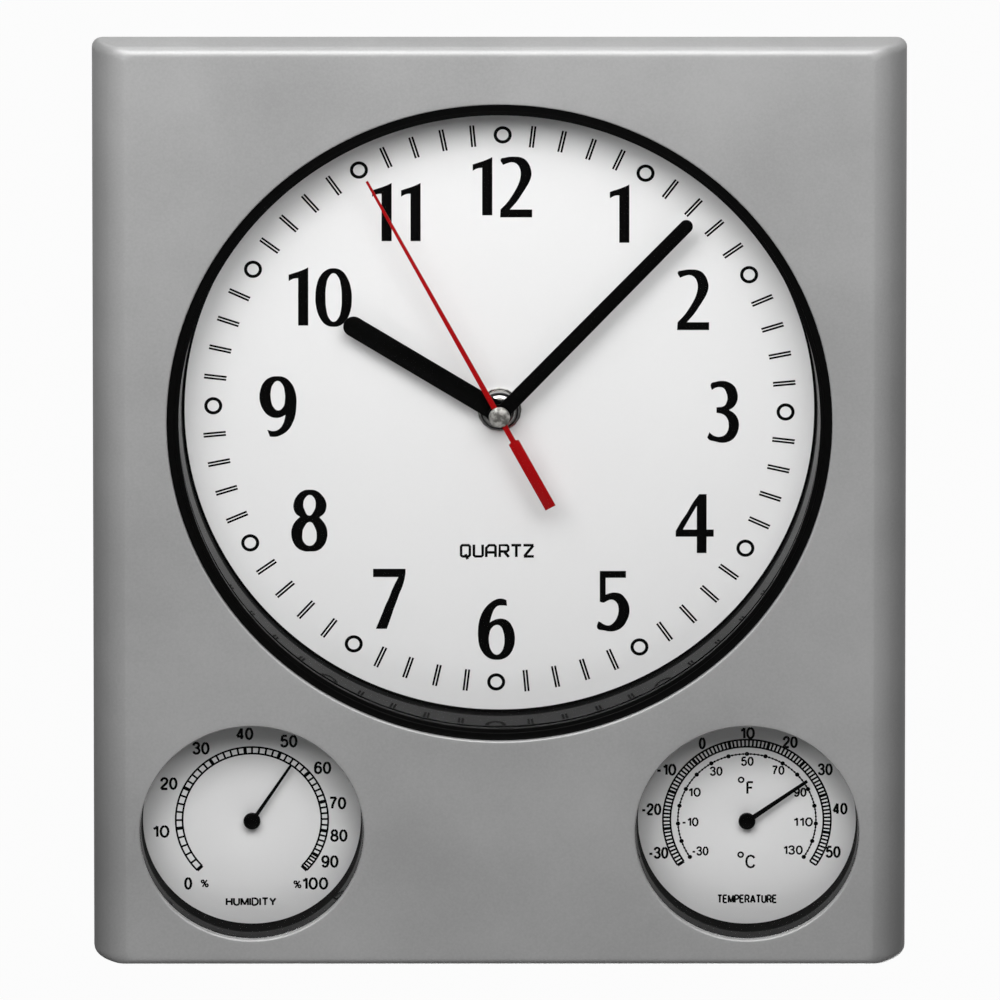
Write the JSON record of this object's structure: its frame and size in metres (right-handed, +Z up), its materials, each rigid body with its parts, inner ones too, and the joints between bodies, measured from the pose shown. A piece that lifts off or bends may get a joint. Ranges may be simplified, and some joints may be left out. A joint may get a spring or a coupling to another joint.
{
  "type": "wall clock",
  "caption": "Upright rectangular wall clock: glazed round dial with hands, geared battery movement, humidity and temperature gauges below it, and a keyhole hanger behind.",
  "frame": {"origin": "where the nail carries the clock: the middle of the keyhole's slot, on the plane of the wall", "axes": "+Z up, +X to the right as seen from the front, +Y into the wall; the dial looks along -Y"},
  "size_m": [0.25, 0.036, 0.295],
  "materials": {
    "silver": "satin silver-grey coating on moulded plastic",
    "black_gloss": "polished black",
    "black_matt": "fine matt grain",
    "clear_glass": "clear, flat, polished",
    "dial_white": "smooth pale ground with printed black scales",
    "hand_black": "black satin coating",
    "hand_red": "dark red satin coating",
    "satin_silver": "satin, slightly mottled",
    "bright_plate": "bright nickel-like plating",
    "yellow_brass": "turned or rolled brass",
    "steel": "plain steel",
    "white_nylon": "moulded off-white",
    "copper": "enamelled copper wire",
    "black_rubber": "dull",
    "board_green": "green solder mask",
    "cell_wrap": "dark printed sleeve without lettering"
  },
  "bodies": {
    "case": {"front_case": "silver", "back_cover": "black_matt", "back_screw_1": "steel", "back_screw_2": "steel", "back_screw_3": "steel", "back_screw_4": "steel", "bezel_ring": "black_gloss", "main_lens": "clear_glass", "spacer_ring": "black_gloss", "dial_plate": "dial_white", "dial_screw_1": "steel", "dial_screw_2": "steel", "dial_screw_3": "steel", "dial_screw_4": "steel", "fixing_nut": "bright_plate", "nut_washer": "yellow_brass", "rubber_washer": "black_rubber", "movement_case": "black_matt", "bushing": "yellow_brass", "middle_plate": "black_matt", "movement_cover": "black_matt", "stator": "steel", "coil": "copper", "circuit_board": "board_green", "quartz_crystal": "bright_plate", "contact_positive": "bright_plate", "contact_negative": "bright_plate", "hygrometer_cup": "black_gloss", "hygrometer_lens": "clear_glass", "hygrometer_dial": "dial_white", "hygrometer_bush": "yellow_brass", "hygrometer_coil": "yellow_brass", "thermometer_cup": "black_gloss", "thermometer_lens": "clear_glass", "thermometer_dial": "dial_white", "thermometer_bush": "yellow_brass", "thermometer_coil": "yellow_brass"},
    "second_train": {"second_wheel": "white_nylon", "second_hand": "hand_red", "second_hand_cap": "satin_silver"},
    "minute_train": {"centre_wheel": "white_nylon", "centre_pipe": "yellow_brass", "minute_hand": "hand_black"},
    "hour_train": {"hour_wheel": "white_nylon", "hour_hand": "hand_black"},
    "setting_train": {"minute_wheel": "white_nylon", "setting_knob": "white_nylon"},
    "third_train": {"third_wheel": "white_nylon"},
    "fifth_train": {"fifth_wheel": "white_nylon"},
    "rotor_train": {"rotor": "steel"},
    "battery_cell": {"battery": "cell_wrap"},
    "humidity_pointer": {"hygrometer_needle": "hand_black"},
    "temperature_pointer": {"thermometer_needle": "hand_black"}
  },
  "joints": [
    {"name": "second_spin", "type": "hinge", "parent": "case", "child": "second_train", "pos_m": [0, -0.01, -0.0933], "axis": [0, 1, 0], "continuous": true},
    {"name": "minute_spin", "type": "hinge", "parent": "case", "child": "minute_train", "pos_m": [0, -0.01, -0.0933], "axis": [0, 1, 0], "continuous": true},
    {"name": "hour_spin", "type": "hinge", "parent": "case", "child": "hour_train", "pos_m": [0, -0.01, -0.0933], "axis": [0, 1, 0], "continuous": true},
    {"name": "third_spin", "type": "hinge", "parent": "case", "child": "third_train", "pos_m": [-0.00433, -0.01, -0.08897], "axis": [0, 1, 0], "continuous": true},
    {"name": "fifth_spin", "type": "hinge", "parent": "case", "child": "fifth_train", "pos_m": [-0.00564, -0.01, -0.09535], "axis": [0, 1, 0], "continuous": true},
    {"name": "rotor_spin", "type": "hinge", "parent": "case", "child": "rotor_train", "pos_m": [-0.01068, -0.01, -0.09535], "axis": [0, 1, 0], "continuous": true},
    {"name": "setting_spin", "type": "hinge", "parent": "case", "child": "setting_train", "pos_m": [0, -0.01, -0.1033], "axis": [0, 1, 0], "continuous": true},
    {"name": "battery_slide", "type": "slide", "parent": "case", "child": "battery_cell", "axis": [0, 1, 0], "range_m": [0, 0.02]},
    {"name": "humidity_pointer_turn", "type": "hinge", "parent": "case", "child": "humidity_pointer", "pos_m": [-0.0763, -0.01, -0.2253], "axis": [0, 1, 0], "range_deg": [-169.5, 102.5], "stiffness_Nm_per_rad": 0.0005},
    {"name": "temperature_pointer_turn", "type": "hinge", "parent": "case", "child": "temperature_pointer", "pos_m": [0.0763, -0.01, -0.2253], "axis": [0, 1, 0], "range_deg": [-179.8, 70.2], "stiffness_Nm_per_rad": 0.0005}
  ],
  "couplings": [
    {"joint": "minute_spin", "follows": "second_spin", "ratio": 0.016667},
    {"joint": "hour_spin", "follows": "second_spin", "ratio": 0.0013889},
    {"joint": "third_spin", "follows": "second_spin", "ratio": -0.13333},
    {"joint": "fifth_spin", "follows": "second_spin", "ratio": -5},
    {"joint": "rotor_spin", "follows": "second_spin", "ratio": 30},
    {"joint": "setting_spin", "follows": "second_spin", "ratio": -0.0055556}
  ]
}
